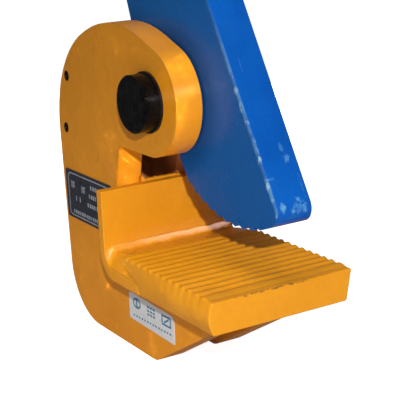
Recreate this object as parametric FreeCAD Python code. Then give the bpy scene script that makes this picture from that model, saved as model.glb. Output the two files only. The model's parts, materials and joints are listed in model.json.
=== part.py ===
import FreeCAD, Part
import math
import os

# Horizontal plate lifting clamp. Everything is laid out about the pivot axis: x = 0, z = 0,
# with +X towards the open mouth, +Z up and the pin along Y. At the end the whole clamp is
# moved so that the origin is under the middle of its bounding box, on the floor.

V = FreeCAD.Vector

# ---- frame side plates ----
PLATE_T = 16.0
INNER_HALF = 12.0
OUTER_HALF = INNER_HALF + PLATE_T
EAR_R = 30.5
EAR_TANGENT_DEG = 70.0
CROWN_X = -37.8
CROWN_Z = 46.2
CROWN_R = 90.0
SHOULDER_X = -117.9
SHOULDER_Z = 13.1
SHOULDER_R = 66.0
HEEL_X = -111.3
HEEL_R = 35.0
BOTTOM_Z = -152.9
TOE_X = -5.4
TOE_R = 12.0
LIP_END_X = 70.0
LIP_END_Z = -109.2
THROAT_TOP_X = -37.0
THROAT_TOP_R = 5.0
THROAT_DEEP_X = -43.8
THROAT_DEEP_Z = -58.0
THROAT_STEP_Z = -68.0
TIP_R = 1.5
THROAT_DEEP_R = 4.0
THROAT_STEP_R = 3.0
EDGE_CHAMFER = 0.7

# ---- jaw bracket, pad and their teeth ----
BRACKET_T = 6.0
BRACKET_FRONT_X = -31.5
BRACKET_BACK_X = BRACKET_FRONT_X - BRACKET_T
BRACKET_TOP_Z = -54.2
BEND_OUTER_R = 15.5
BEND_INNER_R = BEND_OUTER_R - BRACKET_T
BRACKET_HALF = 44.2
SEAT_Z = -105.7
LEG_END_X = 7.0
PAD_BACK_X = -10.0
PAD_FRONT_X = 84.3
PAD_LEFT_TOP = -44.4
PAD_LEFT_MIDDLE = -46.3
PAD_LEFT_LOW = -43.9
PAD_RIGHT_TOP = 44.6
PAD_RIGHT_LOW = 41.6
PAD_CORNER = 1.2
TOOTH_TIP_Z = -86.8
TOOTH_DEPTH = 1.7
TOOTH_PITCH = 6.8
TOOTH_COUNT = 13
FIRST_TOOTH_X = -6.2
PAD_FRONT_DROP = 1.3
PAD_BACK_LIP = 3.2
PAD_BACK_DROP = 1.4
TIP_ROUND = 0.5
VALLEY_ROUND = 0.8
BRACKET_EDGE_R = 0.8

# ---- spine between the plates ----
SPACER_FRONT_X = -72.0
SPACER_LEDGE_Z = -59.0
SPACER_LEDGE_BACK_Z = -73.0
SPACER_LEDGE_R = 5.0
SPACER_TOE_X = -22.0
SPINE_PIN_R = 3.0
SPINE_PIN_BORE_R = 1.7
SPINE_PIN_SHORT = 1.0
SPINE_PIN_SPOTS = ((-101.0, 2.2), (-106.6, -30.8))

# ---- pivot ----
PIN_R = 16.0
PIN_BORE_R = 16.05
PIN_PROUD = 11.0
PIN_CHAMFER = 0.9
GROOVE_R = 15.0
RING_T = 1.5
RING_R = 17.0
RING_GAP_DEG = 24.0
RING_AIM_DEG = 205.0
RING_LUG_R = 2.2
RING_LUG_SINK = 0.3
RING_LUG_HOLE_R = 0.9
RING_PLAY = 0.05
WASHER_T = 0.9
WASHER_R = 26.0
WASHER_BORE_R = 16.4
BUSH_R = 19.0
BUSH_BORE_R = 16.05

# ---- cam lever ----
CAM_HALF = 11.0
BOSS_R = 30.0
FRONT_X0 = 69.3
FRONT_SLOPE = -0.577
ELBOW_Z = 66.0
ELBOW_R = 60.0
NOSE_Z = -50.3
NOSE_R = 8.0
BELLY_FRONT = (80.0, -57.2)
BELLY_MID = (43.0, -59.2)
BELLY_BACK = (11.9, -46.0)
CAM_TOOTH_COUNT = 9
CAM_TOOTH_DEPTH = 2.3
HEEL_TOP = (1.26, -29.97)
EYE_X = -38.0
EYE_Z = 92.0
EYE_R = 25.0
EYE_BORE_R = 12.0

# ---- plate marks and weld ----
NAMEPLATE_X = -111.0
NAMEPLATE_Z = -57.2
NAMEPLATE_W = 61.0
NAMEPLATE_H = 31.0
NAMEPLATE_T = 0.6
LABEL_X = -35.0
LABEL_Z = -117.9
LABEL_W = 52.4
LABEL_H = 16.9
LABEL_TILT_DEG = -1.3
LABEL_T = 0.3
MARK_CORNER = 1.5
LABEL_LOW_CORNER = 0.6
LABEL_TOP_CORNER = 2.5
LEG_SIZE = 5.0
BEAD_HALF = 3.0
BEAD_RISE = 1.3
SPINE_WELD_LOW = -112.0
SPINE_WELD_HIGH = -40.0
SEAT_WELD_BACK_X = 22.0
SEAT_WELD_LENGTH = 46.0
REAR_WELD_HALF = 43.2
REAR_WELD_START_DEG = 205.0
REAR_WELD_MIDWAY_DEG = 240.0
REAR_WELD_CREST = 1.8
REAR_WELD_HOLLOW_X = 9.5
REAR_WELD_HOLLOW = 1.2
TOP_WELD_DROP = 1.0

# ---- working sizes ----
FAR = 300.0
OVER = 1.0


def xz(x, z, y=0.0):
    """A point of the XZ plane at depth y."""
    return V(x, y, z)


def rounded_wire(corners):
    """Closed XZ wire through (x, z, radius) corners, each rounded by its radius."""
    edges = []
    count = len(corners)
    starts = []
    ends = []
    arcs = []
    for i in range(count):
        here = xz(corners[i][0], corners[i][1])
        before = xz(corners[i - 1][0], corners[i - 1][1]) - here
        after = xz(corners[(i + 1) % count][0], corners[(i + 1) % count][1]) - here
        before.normalize()
        after.normalize()
        radius = corners[i][2]
        if radius <= 0:
            starts.append(here)
            ends.append(here)
            arcs.append(None)
            continue
        half = before.getAngle(after) / 2.0
        reach = radius / math.tan(half)
        middle = before + after
        middle.normalize()
        centre = here + middle * (radius / math.sin(half))
        first = here + before * reach
        last = here + after * reach
        starts.append(first)
        ends.append(last)
        arcs.append(Part.Arc(first, centre - middle * radius, last).toShape())
    for i in range(count):
        if arcs[i] is not None:
            edges.append(arcs[i])
        nxt = (i + 1) % count
        if ends[i].distanceToPoint(starts[nxt]) > 1e-6:
            edges.append(Part.LineSegment(ends[i], starts[nxt]).toShape())
    return Part.Wire(edges)


def slab(wire, y0, y1):
    """Solid made by carrying a closed XZ wire from y0 to y1."""
    face = Part.Face(wire)
    face.translate(V(0, y0, 0))
    return face.extrude(V(0, y1 - y0, 0))


def disc(x, z, radius, y0, y1):
    """Solid cylinder along Y."""
    return Part.makeCylinder(radius, y1 - y0, V(x, y0, z), V(0, 1, 0))


def mirrored(shape):
    """The same shape on the other side of the middle plane."""
    return shape.mirror(V(0, 0, 0), V(0, 1, 0))


def front_line_x(z):
    """The straight front edge of the cam lever."""
    return FRONT_X0 + FRONT_SLOPE * z


# ---------------------------------------------------------------- frame
def plate_corners():
    """Outline of a side plate without its ear."""
    tangent = math.radians(EAR_TANGENT_DEG)
    return [
        (EAR_R * math.cos(tangent), EAR_R * math.sin(tangent), 0),
        (CROWN_X, CROWN_Z, CROWN_R),
        (SHOULDER_X, SHOULDER_Z, SHOULDER_R),
        (HEEL_X, BOTTOM_Z, HEEL_R),
        (TOE_X, BOTTOM_Z, TOE_R),
        (LIP_END_X, LIP_END_Z, TIP_R),
        (LIP_END_X, SEAT_Z, 0),
        (BRACKET_BACK_X, SEAT_Z, BEND_OUTER_R),
        (BRACKET_BACK_X, THROAT_STEP_Z, THROAT_STEP_R),
        (THROAT_DEEP_X, THROAT_DEEP_Z, THROAT_DEEP_R),
        (THROAT_TOP_X, -EAR_R, THROAT_TOP_R),
        (0, -EAR_R, 0),
    ]


def side_plate():
    """Thick C-shaped plate with the pivot ear, on the -Y side."""
    body = slab(rounded_wire(plate_corners()), -OUTER_HALF, -INNER_HALF)
    ear = disc(0, 0, EAR_R, -OUTER_HALF, -INNER_HALF)
    plate = body.fuse(ear).removeSplitter()
    plate = plate.makeChamfer(EDGE_CHAMFER, outer_face_edges(plate, -OUTER_HALF))
    plate = plate.cut(disc(0, 0, PIN_BORE_R, -OUTER_HALF - OVER, -INNER_HALF + OVER))
    for x, z in SPINE_PIN_SPOTS:
        plate = plate.cut(disc(x, z, SPINE_PIN_R, -OUTER_HALF - OVER, -INNER_HALF + OVER))
    return plate


def outer_face_edges(solid, y):
    """The edges lying in the plane of the given y, without those on the jaw seat."""
    found = []
    for edge in solid.Edges:
        box = edge.BoundBox
        if abs(box.YMin - y) > 1e-4 or abs(box.YMax - y) > 1e-4:
            continue
        on_seat = box.ZMin > SEAT_Z - 0.01 and box.ZMax < BRACKET_TOP_Z and box.XMin > -45.0
        if not on_seat:
            found.append(edge)
    return found


def spine_spacer():
    """Filler between the two plates at the back, cut away for the cam."""
    region = [
        (SPACER_FRONT_X, FAR, 0),
        (-FAR, FAR, 0),
        (-FAR, -FAR, 0),
        (SPACER_TOE_X, -FAR, 0),
        (SPACER_TOE_X, SPACER_LEDGE_Z, 0),
        (BRACKET_BACK_X, SPACER_LEDGE_Z, 0),
        (SPACER_FRONT_X, SPACER_LEDGE_BACK_Z, SPACER_LEDGE_R),
    ]
    body = slab(rounded_wire(plate_corners()), -INNER_HALF, INNER_HALF)
    body = body.common(slab(rounded_wire(region), -INNER_HALF, INNER_HALF))
    for x, z in SPINE_PIN_SPOTS:
        body = body.cut(disc(x, z, SPINE_PIN_R, -INNER_HALF - OVER, INNER_HALF + OVER))
    return body


def spine_pins():
    """Two hollow spring pins through the plates and the spacer."""
    pins = []
    for x, z in SPINE_PIN_SPOTS:
        end = OUTER_HALF - SPINE_PIN_SHORT
        outer = disc(x, z, SPINE_PIN_R, -end, end)
        pins.append(outer.cut(disc(x, z, SPINE_PIN_BORE_R, -OUTER_HALF, OUTER_HALF)))
    return Part.Compound(pins)


def jaw_bracket():
    """Bent L-shaped plate, wider than the frame."""
    bend = BEND_OUTER_R
    corners = [
        (BRACKET_FRONT_X, BRACKET_TOP_Z, BRACKET_EDGE_R),
        (BRACKET_BACK_X, BRACKET_TOP_Z, BRACKET_EDGE_R),
        (BRACKET_BACK_X, SEAT_Z, bend),
        (LEG_END_X, SEAT_Z, 0),
        (LEG_END_X, SEAT_Z + BRACKET_T, 0),
        (BRACKET_FRONT_X, SEAT_Z + BRACKET_T, BEND_INNER_R),
    ]
    return slab(rounded_wire(corners), -BRACKET_HALF, BRACKET_HALF)


def pad_profile():
    """Side profile of the jaw pad with its ridges."""
    valley = TOOTH_TIP_Z - TOOTH_DEPTH
    half = TOOTH_PITCH / 2.0
    front = TOOTH_TIP_Z - PAD_FRONT_DROP
    corners = [
        (LEG_END_X, SEAT_Z, 0),
        (LEG_END_X, SEAT_Z + BRACKET_T, 0),
        (PAD_BACK_X, TOOTH_TIP_Z - PAD_BACK_LIP, 0),
        (PAD_BACK_X, TOOTH_TIP_Z - PAD_BACK_DROP, TIP_ROUND),
    ]
    for i in range(TOOTH_COUNT):
        tip = FIRST_TOOTH_X + i * TOOTH_PITCH
        corners.append((tip, TOOTH_TIP_Z, TIP_ROUND))
        if i < TOOTH_COUNT - 1:
            corners.append((tip + half, valley, VALLEY_ROUND))
    corners.append((PAD_FRONT_X, front, VALLEY_ROUND))
    corners.append((PAD_FRONT_X, SEAT_Z, VALLEY_ROUND))
    corners.reverse()
    return corners


def pad_section():
    """End-on section of the pad: the left side bulges, the right side leans in towards the foot."""
    top = TOOTH_TIP_Z + OVER
    middle = (TOOTH_TIP_Z + SEAT_Z) / 2.0
    low = SEAT_Z + PAD_CORNER
    x = PAD_BACK_X - OVER
    left_top = V(x, PAD_LEFT_TOP, top)
    left_low = V(x, PAD_LEFT_LOW, low)
    left_foot = V(x, PAD_LEFT_LOW + PAD_CORNER, SEAT_Z)
    right_foot = V(x, PAD_RIGHT_LOW - PAD_CORNER, SEAT_Z)
    right_low = V(x, PAD_RIGHT_LOW, low)
    right_top = V(x, PAD_RIGHT_TOP, top)
    edges = [
        Part.Arc(left_top, V(x, PAD_LEFT_MIDDLE, middle), left_low).toShape(),
        Part.LineSegment(left_low, left_foot).toShape(),
        Part.LineSegment(left_foot, right_foot).toShape(),
        Part.LineSegment(right_foot, right_low).toShape(),
        Part.LineSegment(right_low, right_top).toShape(),
        Part.LineSegment(right_top, left_top).toShape(),
    ]
    length = PAD_FRONT_X - PAD_BACK_X + 2.0 * OVER
    return Part.Face(Part.Wire(edges)).extrude(V(length, 0, 0))


def toothed_jaw_pad():
    """Thick jaw pad with ridges across its top."""
    wide = PAD_RIGHT_TOP - PAD_LEFT_MIDDLE
    return slab(rounded_wire(pad_profile()), -wide, wide).common(pad_section())


# ---------------------------------------------------------------- pivot
def pivot_pin():
    """Plain pin with chamfered ends and two ring grooves."""
    half = OUTER_HALF + PIN_PROUD
    pin = disc(0, 0, PIN_R, -half, half)
    rims = [edge for edge in pin.Edges if edge.Closed]
    pin = pin.makeChamfer(PIN_CHAMFER, rims)
    width = RING_T + 2.0 * RING_PLAY
    for y in (-OUTER_HALF - width, OUTER_HALF):
        groove = disc(0, 0, PIN_R + OVER, y, y + width).cut(disc(0, 0, GROOVE_R, y, y + width))
        pin = pin.cut(groove)
    return pin


def circlip():
    """External retaining ring with two lugs, on the -Y side of the pin."""
    y1 = -OUTER_HALF - RING_PLAY
    y0 = y1 - RING_T
    ring = disc(0, 0, RING_R, y0, y1)
    opening = math.radians(RING_GAP_DEG / 2.0)
    aim = math.radians(RING_AIM_DEG)
    lug_at = RING_R - RING_LUG_SINK
    turn = opening + math.asin(RING_LUG_R / lug_at)
    spots = [
        (lug_at * math.cos(aim - turn), lug_at * math.sin(aim - turn)),
        (lug_at * math.cos(aim + turn), lug_at * math.sin(aim + turn)),
    ]
    for x, z in spots:
        ring = ring.fuse(disc(x, z, RING_LUG_R, y0, y1))
    ring = ring.cut(disc(0, 0, GROOVE_R, y0, y1))
    for x, z in spots:
        ring = ring.cut(disc(x, z, RING_LUG_HOLE_R, y0, y1))
    reach = 2.0 * RING_R
    left = xz(reach * math.cos(aim - opening), reach * math.sin(aim - opening))
    right = xz(reach * math.cos(aim + opening), reach * math.sin(aim + opening))
    wedge = slab(Part.makePolygon([xz(0, 0), left, right, xz(0, 0)]), y0 - OVER, y1 + OVER)
    return ring.cut(wedge).removeSplitter()


def thrust_washer():
    """Thin washer between the lever and the -Y plate."""
    ring = disc(0, 0, WASHER_R, -INNER_HALF, -INNER_HALF + WASHER_T)
    return ring.cut(disc(0, 0, WASHER_BORE_R, -INNER_HALF, -INNER_HALF + WASHER_T))


# ---------------------------------------------------------------- cam
def belly_points():
    """Tooth tips of the cam, evenly spaced along its belly from front to back."""
    arc = Part.Arc(xz(*BELLY_FRONT), xz(*BELLY_MID), xz(*BELLY_BACK))
    first = arc.FirstParameter
    step = (arc.LastParameter - first) / CAM_TOOTH_COUNT
    return [arc.value(first + i * step) for i in range(CAM_TOOTH_COUNT + 1)]


def cam_lever():
    """Toothed cam and lifting arm in one plate, with the eye at its top."""
    elbow = xz(front_line_x(ELBOW_Z), ELBOW_Z)
    eye = xz(EYE_X, EYE_Z)
    to_eye = eye - elbow
    reach = to_eye.Length
    aim = math.atan2(to_eye.z, to_eye.x) - math.asin(EYE_R / reach)
    run = math.sqrt(reach * reach - EYE_R * EYE_R)
    eye_front = elbow + xz(math.cos(aim), math.sin(aim)) * run
    lean = math.atan2(EYE_Z, EYE_X)
    side = lean + math.acos((BOSS_R - EYE_R) / math.hypot(EYE_X, EYE_Z))
    outward = xz(math.cos(side), math.sin(side))
    tips = belly_points()
    nose = xz(front_line_x(NOSE_Z), NOSE_Z)
    up = elbow - nose
    up.normalize()
    back = tips[0] - nose
    back.normalize()
    half = up.getAngle(back) / 2.0
    middle = up + back
    middle.normalize()
    nose_top = nose + up * (NOSE_R / math.tan(half))
    nose_low = nose + back * (NOSE_R / math.tan(half))
    nose_mid = nose + middle * (NOSE_R / math.sin(half) - NOSE_R)
    edges = [Part.Arc(nose_top, nose_mid, nose_low).toShape()]
    edges.append(Part.LineSegment(nose_low, tips[0]).toShape())
    for i in range(CAM_TOOTH_COUNT):
        centre = (tips[i] + tips[i + 1]) * 0.5
        inward = xz(-centre.x, -centre.z)
        inward.normalize()
        valley = centre + inward * CAM_TOOTH_DEPTH
        edges.append(Part.Arc(tips[i], valley, tips[i + 1]).toShape())
    edges.append(Part.LineSegment(tips[-1], xz(*HEEL_TOP)).toShape())
    edges.append(Part.LineSegment(xz(*HEEL_TOP), xz(0, 0)).toShape())
    edges.append(Part.LineSegment(xz(0, 0), outward * BOSS_R).toShape())
    edges.append(Part.LineSegment(outward * BOSS_R, eye + outward * EYE_R).toShape())
    edges.append(Part.LineSegment(eye + outward * EYE_R, eye_front).toShape())
    turn = up.getAngle(eye_front - elbow)
    cut_back = ELBOW_R * math.tan(turn / 2.0)
    low = elbow - up * cut_back
    ahead = eye_front - elbow
    ahead.normalize()
    high = elbow + ahead * cut_back
    inward = ahead - up
    inward.normalize()
    bow = elbow + inward * (ELBOW_R / math.cos(turn / 2.0) - ELBOW_R)
    edges.append(Part.LineSegment(eye_front, high).toShape())
    edges.append(Part.Arc(high, bow, low).toShape())
    edges.append(Part.LineSegment(low, nose_top).toShape())
    lever = slab(Part.Wire(Part.__sortEdges__(edges)), -CAM_HALF, CAM_HALF)
    lever = lever.fuse(disc(0, 0, BOSS_R, -CAM_HALF, CAM_HALF))
    lever = lever.fuse(disc(EYE_X, EYE_Z, EYE_R, -CAM_HALF, CAM_HALF)).removeSplitter()
    lever = lever.cut(disc(0, 0, BUSH_R, -CAM_HALF - OVER, CAM_HALF + OVER))
    return lever.cut(disc(EYE_X, EYE_Z, EYE_BORE_R, -CAM_HALF - OVER, CAM_HALF + OVER))


def cam_bush():
    """Bearing bush pressed into the lever."""
    bush = disc(0, 0, BUSH_R, -CAM_HALF, CAM_HALF)
    return bush.cut(disc(0, 0, BUSH_BORE_R, -CAM_HALF, CAM_HALF))


# ---------------------------------------------------------------- marks
def nameplate():
    """Rating plate on the outer face of the -Y plate."""
    x0 = NAMEPLATE_X
    x1 = NAMEPLATE_X + NAMEPLATE_W
    z0 = NAMEPLATE_Z - NAMEPLATE_H
    z1 = NAMEPLATE_Z
    corners = [(x0, z0, MARK_CORNER), (x1, z0, MARK_CORNER), (x1, z1, MARK_CORNER), (x0, z1, MARK_CORNER)]
    return slab(rounded_wire(corners), -OUTER_HALF - NAMEPLATE_T, -OUTER_HALF)


def inspection_label():
    """Sticker below the jaw on the -Y plate, set slightly askew."""
    corners = [
        (LABEL_X, LABEL_Z - LABEL_H, LABEL_LOW_CORNER),
        (LABEL_X + LABEL_W, LABEL_Z - LABEL_H, LABEL_LOW_CORNER),
        (LABEL_X + LABEL_W, LABEL_Z, LABEL_TOP_CORNER),
        (LABEL_X, LABEL_Z, LABEL_TOP_CORNER),
    ]
    label = slab(rounded_wire(corners), -OUTER_HALF - LABEL_T, -OUTER_HALF)
    label.rotate(xz(LABEL_X, LABEL_Z), V(0, 1, 0), -LABEL_TILT_DEG)
    return label


# ---------------------------------------------------------------- welds
def on_bend(degrees):
    """A point on the inner face of the bracket's bend."""
    turn = math.radians(degrees)
    x = BRACKET_FRONT_X + BEND_INNER_R * (1.0 + math.cos(turn))
    z = SEAT_Z + BRACKET_T + BEND_INNER_R * (1.0 + math.sin(turn))
    return xz(x, z)


def rear_weld():
    """Bead filling the trough between the bracket's bend and the back of the pad."""
    start = on_bend(REAR_WELD_START_DEG)
    bottom = on_bend(270.0)
    tail = xz(LEG_END_X, SEAT_Z + BRACKET_T)
    step = xz(PAD_BACK_X, TOOTH_TIP_Z - PAD_BACK_LIP)
    crest = xz(PAD_BACK_X, TOOTH_TIP_Z - REAR_WELD_CREST)
    hollow = xz(PAD_BACK_X - REAR_WELD_HOLLOW_X, TOOTH_TIP_Z - REAR_WELD_HOLLOW)
    edges = [
        Part.Arc(start, on_bend(REAR_WELD_MIDWAY_DEG), bottom).toShape(),
        Part.LineSegment(bottom, tail).toShape(),
        Part.LineSegment(tail, step).toShape(),
        Part.LineSegment(step, crest).toShape(),
        Part.Arc(crest, hollow, start).toShape(),
    ]
    return slab(Part.Wire(edges), -REAR_WELD_HALF, REAR_WELD_HALF)


def seat_weld():
    """Fillet under the pad along the outside of the -Y plate."""
    x = SEAT_WELD_BACK_X
    corner = V(x, -OUTER_HALF, SEAT_Z)
    points = [corner, V(x, -OUTER_HALF - LEG_SIZE, SEAT_Z), V(x, -OUTER_HALF, SEAT_Z - LEG_SIZE), corner]
    return Part.Face(Part.makePolygon(points)).extrude(V(SEAT_WELD_LENGTH, 0, 0))


def bracket_weld():
    """Fillet behind the bracket along the outside of the -Y plate."""
    x = BRACKET_BACK_X
    z = SEAT_Z + BEND_OUTER_R
    corner = V(x, -OUTER_HALF, z)
    points = [corner, V(x, -OUTER_HALF - LEG_SIZE, z), V(x - LEG_SIZE, -OUTER_HALF, z), corner]
    height = THROAT_STEP_Z - THROAT_STEP_R - z
    return Part.Face(Part.makePolygon(points)).extrude(V(0, 0, height))


def top_weld():
    """Short bead joining the bracket's back to the spacer between the plates."""
    z = BRACKET_TOP_Z - TOP_WELD_DROP
    slope = (SPACER_LEDGE_BACK_Z - SPACER_LEDGE_Z) / (SPACER_FRONT_X - BRACKET_BACK_X)
    foot = BRACKET_BACK_X - LEG_SIZE
    corner = xz(BRACKET_BACK_X, SPACER_LEDGE_Z)
    toe = xz(foot, SPACER_LEDGE_Z - slope * LEG_SIZE)
    points = [xz(BRACKET_BACK_X, z), corner, toe, xz(BRACKET_BACK_X, z)]
    half = INNER_HALF - OVER
    return slab(Part.makePolygon(points), -half, half)


def spine_weld():
    """Low bead up the back edge, over the joint between the -Y plate and the spacer."""
    slope = (HEEL_X - SHOULDER_X) / (BOTTOM_Z - SHOULDER_Z)
    x = SHOULDER_X + slope * (SPINE_WELD_LOW - SHOULDER_Z)
    z = SPINE_WELD_LOW
    points = [V(x, -INNER_HALF - BEAD_HALF, z), V(x - BEAD_RISE, -INNER_HALF, z),
              V(x, -INNER_HALF + BEAD_HALF, z), V(x, -INNER_HALF - BEAD_HALF, z)]
    run = SPINE_WELD_HIGH - SPINE_WELD_LOW
    return Part.Face(Part.makePolygon(points)).extrude(V(slope * run, 0, run))


def clamp():
    """Every node of the clamp, laid out about the pivot."""
    plate = side_plate()
    ring = circlip()
    washer = thrust_washer()
    seat = seat_weld()
    bracket = bracket_weld()
    spine = spine_weld()
    return {
        "side_plate_left": plate,
        "side_plate_right": mirrored(plate),
        "spine_spacer": spine_spacer(),
        "spine_pins": spine_pins(),
        "jaw_bracket": jaw_bracket(),
        "toothed_jaw_pad": toothed_jaw_pad(),
        "pivot_pin": pivot_pin(),
        "pin_circlips": Part.Compound([ring, mirrored(ring)]),
        "thrust_washer_left": washer,
        "thrust_washer_right": mirrored(washer),
        "cam_lever": cam_lever(),
        "cam_bush": cam_bush(),
        "nameplate": nameplate(),
        "inspection_label": inspection_label(),
        "weld_pad_rear": rear_weld(),
        "weld_seat_left": seat,
        "weld_seat_right": mirrored(seat),
        "weld_bracket_left": bracket,
        "weld_bracket_right": mirrored(bracket),
        "weld_bracket_top": top_weld(),
        "weld_spine_left": spine,
        "weld_spine_right": mirrored(spine),
    }


def main():
    os.makedirs("parts", exist_ok=True)
    nodes = clamp()
    box = FreeCAD.BoundBox()
    for shape in nodes.values():
        box.add(shape.BoundBox)
    floor = V(-(box.XMin + box.XMax) / 2.0, 0, -box.ZMin)
    for name, shape in nodes.items():
        placed = shape.copy()
        placed.translate(floor)
        placed.exportStep("parts/" + name + ".step")
        print(name, placed.isValid(), len(placed.Solids), round(placed.Volume, 1))
    print("pivot at", round(floor.x, 3), round(floor.z, 3))
    print("size", round(box.XLength, 2), round(box.YLength, 2), round(box.ZLength, 2))


main()
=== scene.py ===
import json
import math
import bmesh
import bpy
from mathutils import Matrix, Vector, noise

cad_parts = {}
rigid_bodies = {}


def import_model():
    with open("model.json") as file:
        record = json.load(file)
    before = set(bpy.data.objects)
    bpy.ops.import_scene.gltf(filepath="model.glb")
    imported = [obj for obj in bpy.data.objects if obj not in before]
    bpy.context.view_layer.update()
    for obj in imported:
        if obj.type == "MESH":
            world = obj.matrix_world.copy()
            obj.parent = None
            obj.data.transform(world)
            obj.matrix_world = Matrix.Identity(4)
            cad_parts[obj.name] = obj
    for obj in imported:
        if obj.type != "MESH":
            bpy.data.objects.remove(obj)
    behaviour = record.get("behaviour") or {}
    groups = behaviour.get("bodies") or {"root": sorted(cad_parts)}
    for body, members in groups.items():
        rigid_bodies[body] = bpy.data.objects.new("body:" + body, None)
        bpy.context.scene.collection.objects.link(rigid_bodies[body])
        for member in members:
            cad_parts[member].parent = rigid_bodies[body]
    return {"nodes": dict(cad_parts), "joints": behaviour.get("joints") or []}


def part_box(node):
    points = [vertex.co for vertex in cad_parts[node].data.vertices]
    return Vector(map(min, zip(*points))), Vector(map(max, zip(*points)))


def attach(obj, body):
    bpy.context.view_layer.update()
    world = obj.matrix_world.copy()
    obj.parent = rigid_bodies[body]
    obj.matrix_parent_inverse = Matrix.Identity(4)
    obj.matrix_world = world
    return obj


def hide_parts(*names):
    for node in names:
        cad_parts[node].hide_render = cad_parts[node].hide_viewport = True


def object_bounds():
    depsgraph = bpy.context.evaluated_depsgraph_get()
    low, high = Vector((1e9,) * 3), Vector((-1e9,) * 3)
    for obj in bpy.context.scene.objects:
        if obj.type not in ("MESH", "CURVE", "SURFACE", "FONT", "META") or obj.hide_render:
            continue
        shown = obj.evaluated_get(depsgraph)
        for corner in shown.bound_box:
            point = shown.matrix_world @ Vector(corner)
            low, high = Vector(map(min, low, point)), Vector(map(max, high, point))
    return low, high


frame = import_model()
cad_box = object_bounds()
MM = 0.001
joint = next(j for j in frame["joints"] if j["name"] == "cam_pivot")
PX, PZ = joint["pos_m"][0], joint["pos_m"][2]


def span(node, axis):
    """Lowest and highest value of a CAD node along one axis, in metres."""
    lo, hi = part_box(node)
    return lo[axis], hi[axis]


# in metres
PLATE_OUT, PLATE_IN = span("side_plate_left", 1)
SEAT_Z = span("jaw_bracket", 2)[0] - PZ
CAM_HALF = span("cam_lever", 1)[1]
BRACKET_HALF = span("jaw_bracket", 1)[1]

# the pad's front end and its tooth tips, in mm about the pivot
PAD_FRONT = (span("toothed_jaw_pad", 0)[1] - PX) / MM
TIP = (span("toothed_jaw_pad", 2)[1] - PZ) / MM


# ------------------------------------------------------------------ outlines
def fillet(corners, segment_deg=5.0):
    """Closed outline through (x, z, radius) corners in mm about the pivot; radius 0 keeps it sharp."""
    out = []
    count = len(corners)
    for i in range(count):
        here = Vector(corners[i][:2])
        r = corners[i][2]
        if r <= 0:
            out.append(here)
            continue
        a = (Vector(corners[i - 1][:2]) - here).normalized()
        b = (Vector(corners[(i + 1) % count][:2]) - here).normalized()
        half = a.angle(b) / 2
        mid = (a + b).normalized()
        centre = here + mid * (r / math.sin(half))
        p0 = here + a * (r / math.tan(half)) - centre
        p1 = here + b * (r / math.tan(half)) - centre
        turn = math.atan2(p0.x * p1.y - p0.y * p1.x, p0.dot(p1))
        steps = max(2, round(abs(math.degrees(turn)) / segment_deg))
        for k in range(steps + 1):
            t = turn * k / steps
            c, s = math.cos(t), math.sin(t)
            out.append(centre + Vector((p0.x * c - p0.y * s, p0.x * s + p0.y * c)))
    return out


def ring(cx, cz, r, a0=0.0, a1=360.0, steps=72):
    """Points of an arc from a0 to a1 degrees; a full circle leaves out its last point."""
    last = steps if abs(a1 - a0) > 359.9 else steps + 1
    return [Vector((cx + r * math.cos(math.radians(a0 + (a1 - a0) * k / steps)),
                    cz + r * math.sin(math.radians(a0 + (a1 - a0) * k / steps)))) for k in range(last)]


# ------------------------------------------------------------------ meshes
def new_object(name, bm, body, material, smooth=True):
    """A mesh object that rides on a body; its largest faces stay flat-shaded."""
    me = bpy.data.meshes.new(name)
    bmesh.ops.recalc_face_normals(bm, faces=bm.faces)
    bm.to_mesh(me)
    bm.free()
    ob = bpy.data.objects.new(name, me)
    bpy.context.scene.collection.objects.link(ob)
    for p in me.polygons:
        p.use_smooth = smooth and len(p.vertices) < 12
    me.materials.append(material)
    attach(ob, body)
    return ob


def soften(ob, width, segments=3, angle=32):
    """Rounds the sharp edges and keeps the flat faces flat."""
    b = ob.modifiers.new("round", "BEVEL")
    b.width = width
    b.segments = segments
    b.limit_method = "ANGLE"
    b.angle_limit = math.radians(angle)
    b.harden_normals = False
    w = ob.modifiers.new("normals", "WEIGHTED_NORMAL")
    w.keep_sharp = False
    w.weight = 80


def plate_mesh(loops, y0, y1):
    """A flat plate in the XZ plane: loops[0] is the outline in mm about the pivot, the rest are holes."""
    bm = bmesh.new()
    for y in (y0, y1):
        edges = []
        for loop in loops:
            vs = [bm.verts.new((PX + p.x * MM, y, PZ + p.y * MM)) for p in loop]
            edges += [bm.edges.new((vs[i], vs[(i + 1) % len(vs)])) for i in range(len(vs))]
        if len(loops) == 1:
            bm.faces.new([e.verts[0] for e in edges])
        else:
            bmesh.ops.triangle_fill(bm, edges=edges, use_beauty=True)
    bm.verts.ensure_lookup_table()
    total = sum(len(loop) for loop in loops)
    start = 0
    for loop in loops:
        n = len(loop)
        for i in range(n):
            a, b = start + i, start + (i + 1) % n
            bm.faces.new((bm.verts[a], bm.verts[b], bm.verts[total + b], bm.verts[total + a]))
        start += n
    return bm


def loft(sections):
    """Closed sections of equal length joined in order, with a cap on each end."""
    bm = bmesh.new()
    rows = [[bm.verts.new(p) for p in sec] for sec in sections]
    n = len(rows[0])
    for r0, r1 in zip(rows, rows[1:]):
        for i in range(n):
            bm.faces.new((r0[i], r0[(i + 1) % n], r1[(i + 1) % n], r1[i]))
    bm.faces.new(rows[0])
    bm.faces.new(rows[-1][::-1])
    return bm


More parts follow.
